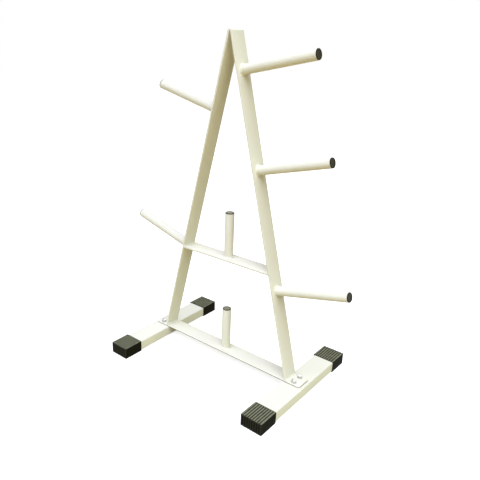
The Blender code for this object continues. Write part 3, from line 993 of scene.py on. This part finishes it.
def groove_cutter(x):
    """A bar that cuts the valley between two ribs, with its section in X and Z."""
    shape = bmesh.new()
    half = GROOVE_WIDTH / 2
    fall = GROOVE_DEPTH + GROOVE_LIFT
    angles = [pi / 2 * step / GROOVE_STEPS for step in range(GROOVE_STEPS + 1)]
    right = [(half * (1 - sin(a)), GROOVE_LIFT + fall * (cos(a) - 1)) for a in angles]
    left = [(-across, up) for across, up in reversed(right[:-1])]
    points = [(half, GROOVE_DEPTH), *right, *left, (-half, GROOVE_DEPTH)]
    start_y = CAP_LENGTH + GROOVE_WIDTH
    verts = [shape.verts.new((x + across, start_y, CAP_HEIGHT + up)) for across, up in points]
    shape.faces.new(verts)
    rim_z = CAP_HEIGHT - CAP_RIM
    front = pulled(shape, shape.faces[:], (0.0, CAP_RIM - start_y, 0.0))
    end = bent(shape, front, (x, CAP_RIM, rim_z), (1, 0, 0), pi / 2, RIM_STEPS)
    pulled(shape, end, (0.0, 0.0, GROOVE_STOP_Z - rim_z))
    return shape


print(f"{GROOVE_COUNT} grooves, {GROOVE_DEPTH * 1000:.1f} mm deep and {RIB_PITCH * 1000:.1f} mm apart")


# %% [markdown]
# The caps themselves.
#
# A cap is a hollow box with one open end, pushed over the end of a foot. Its body is pulled from
# its plan, and its rims are rounded except at the mouth. The pocket for the box section is cut
# together with the grooves, in one go, because one boolean over them all is quicker and cleaner
# than nine after each other. Every point then notes how far across the cap it is, which the
# rubber's finish reads.

# %% Foot caps
CAP_SOLE = 0.0015
CAP_SIDE = 0.0014
CAP_END = 0.003
CAP_CORNER = 0.0025


def cap_body():
    """The cap before its ribs: its plan pulled up, with the front corners and rims round."""
    shape = rectangle(BOX_WIDTH + 2 * (GAP + CAP_SIDE), CAP_LENGTH)
    moved(shape, y=CAP_LENGTH / 2)
    front = [vert for vert in shape.verts if vert.co.y < CAP_LENGTH / 2]
    rounded(shape, front, CAP_CORNER, RIM_STEPS, "VERTICES")
    pulled(shape, shape.faces[:], (0.0, 0.0, CAP_HEIGHT))
    mouth = CAP_LENGTH - GAP
    rims = [edge for edge in level_edges(shape) if min(vert.co.y for vert in edge.verts) < mouth]
    return rounded(shape, rims, CAP_RIM, RIM_STEPS)


def pocket():
    """The room for the box section in a cap, with the small gap all around."""
    width = BOX_WIDTH + 2 * GAP
    height = BOX_HEIGHT + 2 * GAP
    shape = section(width, height, BOX_CORNER + GAP, BOX_CORNER_STEPS)
    pulled(shape, shape.faces[:], (0.0, 0.0, CAP_LENGTH))
    tipped(shape, pi / 2, "X")
    return moved(shape, y=CAP_LENGTH + CAP_END, z=CAP_SOLE + GAP + BOX_HEIGHT / 2)


def foot_cap():
    """A cap with its closed end at Y = 0 and its mouth towards +Y."""
    middle = (GROOVE_COUNT - 1) / 2
    grooves = [groove_cutter((index - middle) * RIB_PITCH) for index in range(GROOVE_COUNT)]
    shape = combined("DIFFERENCE", cap_body(), [pocket(), *grooves])
    across = shape.verts.layers.float.new("across")
    for vert in shape.verts:
        vert[across] = vert.co.x
    return shape


for side_name in SIDES:
    for end_name, turn in (("front", 0.0), ("back", pi)):
        solid = f"foot_cap_{side_name}_{end_name}"
        low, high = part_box(solid)
        end_y = low.y if end_name == "front" else high.y
        seat = Matrix.Translation(((low.x + high.x) / 2, end_y, 0.0))
        place = seat @ Matrix.Rotation(turn, 4, "Z")
        finished(foot_cap(), f"moulded_{solid}", RUBBER, solid, place)


# %% [markdown]
# Bolts, washers and nuts.
#
# Four M8 bolts hold the base bar to the feet. A hexagon head is turned first and milled after,
# so its six corners are cut back by a cone, which leaves the curved lines on its flanks. The
# same is done here: a hexagon is cut by a turned lens. Only the heads and washers show, and the
# weld nuts inside the feet keep their solids.

# %% Fasteners
BOLT_RADIUS = 0.0039
BOLT_LENGTH = 0.020
BOLT_HEAD_HEIGHT = 0.0053
BOLT_POINT = 0.0007
HEX_SIDES = 6
HEX_FLATS = 0.013
HEX_FACE = 0.95
HEX_CHAMFER = radians(30)
WASHER_RADIUS = 0.0083
WASHER_THICK = 0.0016
WASHER_BORE = 0.0042
WASHER_EDGE = 0.0003


def hexagon_head():
    """The head, standing on Z = 0."""
    half_side = pi / HEX_SIDES
    corner = HEX_FLATS / 2 / cos(half_side)
    shape = bmesh.new()
    bmesh.ops.create_circle(shape, cap_ends=True, radius=corner, segments=HEX_SIDES)
    tipped(shape, half_side, "Z")
    pulled(shape, shape.faces[:], (0.0, 0.0, BOLT_HEAD_HEIGHT))
    face = HEX_FLATS / 2 * HEX_FACE
    wide = corner + GAP
    wide_z = BOLT_HEAD_HEIGHT - (wide - face) * tan(HEX_CHAMFER)
    lens = [
        (0.0, -GAP),
        (wide, -GAP),
        (wide, wide_z),
        (face, BOLT_HEAD_HEIGHT),
        (0.0, BOLT_HEAD_HEIGHT),
    ]
    return combined("INTERSECT", shape, [turned(lens, FASTENER_STEPS)])


def bolt():
    """The head and its shank, point down."""
    shank = [
        (0.0, BOLT_HEAD_HEIGHT / 2),
        (BOLT_RADIUS, BOLT_HEAD_HEIGHT / 2),
        (BOLT_RADIUS, BOLT_POINT - BOLT_LENGTH),
        (BOLT_RADIUS - BOLT_POINT, -BOLT_LENGTH),
        (0.0, -BOLT_LENGTH),
    ]
    return combined("UNION", hexagon_head(), [turned(shank, FASTENER_STEPS)])


def washer():
    """A flat washer on Z = 0, with its stamped rim rolled over."""
    outline = [
        (WASHER_BORE, 0.0),
        (WASHER_RADIUS, 0.0),
        (WASHER_RADIUS, WASHER_THICK),
        (WASHER_BORE, WASHER_THICK),
    ]
    return turned(outline, FASTENER_STEPS, [(2, WASHER_EDGE), (3, WASHER_EDGE)])


for name, spot in BOLT_SPOTS.items():
    seat = Matrix.Translation((spot.x, spot.y, BASE_TOP_Z + GAP))
    head = seat @ Matrix.Translation((0.0, 0.0, WASHER_THICK + GAP))
    finished(washer(), f"plated_washer_{name}", ZINC, f"washer_{name}", seat)
    finished(bolt(), f"plated_bolt_{name}", ZINC, f"bolt_{name}", head)
    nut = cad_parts[f"nut_{name}"]
    nut.data.materials.clear()
    nut.data.materials.append(ZINC)


# %% [markdown]
# Floor and backdrop.
#
# The rack stands in front of plain white. The floor takes the rack's soft shadow and throws
# light back under the horns: pale light from close by, a warm one from further off. To the
# camera, and in what shines, the floor and the world behind it are white. Light Path tells
# those rays from the ones that only carry light. A floor that is lit by lamps alone turns grey
# in the distance, so its own glow grows with the distance and hides where it ends.

# %% Floor and backdrop
FLOOR_SIZE = 30.0
FLOOR_PALE = (0.56, 0.52, 0.30)
FLOOR_WARM = (0.32, 0.19, 0.005)
FLOOR_PALE_REACH = 0.40
FLOOR_WARM_REACH = 0.80
FLOOR_SPECKLE_SIZE = 0.004
FLOOR_SPECKLE = 0.05
FLOOR_ROUGHNESS = 0.9
FLOOR_SEEN = (0.70, 0.70, 0.69)
FLOOR_GLOW_NEAR = 0.68
FLOOR_GLOW_FAR = 0.95
FLOOR_FAR = 4.0
SKY = (1.0, 0.95, 0.60)
SKY_STRENGTH = 0.08


def seen_directly(finish):
    """1 for rays of the camera, of gloss and through glass, else 0."""
    path = "ShaderNodeLightPath"
    camera = finish.node(path, output="Is Camera Ray")
    glossy = finish.node(path, output="Is Glossy Ray")
    through = finish.node(path, output="Is Transmission Ray")
    return finish.clamped(camera + glossy + through)


def floor_finish():
    """Pale matt floor that looks white and keeps its shadows."""
    finish = new_finish("pale_floor")
    seen = seen_directly(finish)
    length = {"operation": "LENGTH"}
    away = finish.node("ShaderNodeVectorMath", length, {0: finish.place()}, "Value")
    speckle = finish.noise(FLOOR_SPECKLE_SIZE) * FLOOR_SPECKLE
    span = 1 / (FLOOR_WARM_REACH - FLOOR_PALE_REACH)
    warmth = finish.clamped((away - FLOOR_PALE_REACH) * span + speckle)
    bounce = finish.blend(warmth, tint(*FLOOR_PALE), tint(*FLOOR_WARM))
    far = finish.clamped(away * (1 / FLOOR_FAR))
    glow = finish.blend(far, tint(*[FLOOR_GLOW_NEAR] * 3), tint(*[FLOOR_GLOW_FAR] * 3))
    return finish.surface(
        Base_Color=finish.blend(seen, bounce, tint(*FLOOR_SEEN)),
        Roughness=FLOOR_ROUGHNESS,
        Specular_IOR_Level=0.0,
        Emission_Color=finish.blend(seen, tint(0, 0, 0), glow),
        Emission_Strength=1.0,
    )


def floor():
    """The ground under the rack."""
    ground = as_object(rectangle(FLOOR_SIZE, FLOOR_SIZE), "floor")
    ground.data.materials.append(floor_finish())


def sky():
    """White to the eye, and a plain pale light to everything else."""
    world = bpy.data.worlds.new("studio")
    bpy.context.scene.world = world
    finish = Finish(world)
    seen = seen_directly(finish)
    colour = finish.blend(seen, tint(*[c * SKY_STRENGTH for c in SKY]), tint(1, 1, 1))
    light = finish.node("ShaderNodeBackground", sockets={"Color": colour})
    finish.node("ShaderNodeOutputWorld", sockets={"Surface": light})


floor()
sky()
print(f"the floor is {FLOOR_SIZE:.0f} m wide, and its glow is full from {FLOOR_FAR:.0f} m on")


# %% [markdown]
# Lamps.
#
# A very large soft box hangs far above the rack and to its front, so that the shelf and the
# base bar get about the same light, and the legs shade little of it. A cool one stands low in
# front and fills the sides of the horns, a warm and broad one to the right fills the faces of
# the legs, and one of the same size as the cool one stands behind and lightens what the right
# leg shades. Area lamps are used because their size, and not only their strength, sets how soft
# a shadow is. Each has its place, its width, its watts and its colour.

# %% Lamps
LAMPS = {
    "overhead": ((1.00, -5.60, 13.00), 14.0, 2000.0, (0.92, 0.94, 1.29)),
    "behind": ((-1.10, 2.40, 2.60), 2.4, 32.0, (1.0, 1.0, 0.92)),
    "front_fill": ((-1.40, -2.70, 0.60), 2.4, 35.0, (0.87, 1.0, 1.04)),
    "right_fill": ((2.80, -0.80, 2.50), 3.8, 83.0, (0.93, 1.0, 0.89)),
}
AIM = Vector((0.0, 0.0, 0.4))

for name, (place, width, watts, colour) in LAMPS.items():
    light = bpy.data.lights.new(name, "AREA")
    light.shape = "DISK"
    light.size = width
    light.energy = watts
    light.color = colour
    lamp = bpy.data.objects.new(name, light)
    lamp.location = place
    lamp.rotation_euler = (AIM - lamp.location).to_track_quat("-Z", "Y").to_euler()
    bpy.context.scene.collection.objects.link(lamp)
    print(f"{name}: {watts:.0f} W from {(AIM - lamp.location).length:.2f} m")


# %% [markdown]
# The camera.
#
# It stands to the rack's front right, nearly as high as its top, and looks down at it. The
# picture shows the right part of a wider view, so the lens is shifted sideways by about a ninth
# of the frame. Turning the camera to the rack would frame it as well, but would lean its
# uprights another way.

# %% Camera
CAMERA_PLACE = (0.8215, -1.0868, 0.8941)
CAMERA_DOWN = 20.638
CAMERA_ROUND = 42.487
LENS_MM = 39.097
SENSOR_MM = 36.0
LENS_SHIFT = 0.1146

camera_data = bpy.data.cameras.new("camera")
camera_data.lens = LENS_MM
camera_data.sensor_width = SENSOR_MM
camera_data.shift_x = LENS_SHIFT
camera = bpy.data.objects.new("camera", camera_data)
camera.location = CAMERA_PLACE
camera.rotation_euler = (radians(90 - CAMERA_DOWN), 0.0, radians(CAMERA_ROUND))
bpy.context.scene.collection.objects.link(camera)
bpy.context.scene.camera = camera
bpy.context.scene.view_settings.view_transform = "Standard"
print(f"the lens takes in {degrees(camera_data.angle):.1f} degrees")
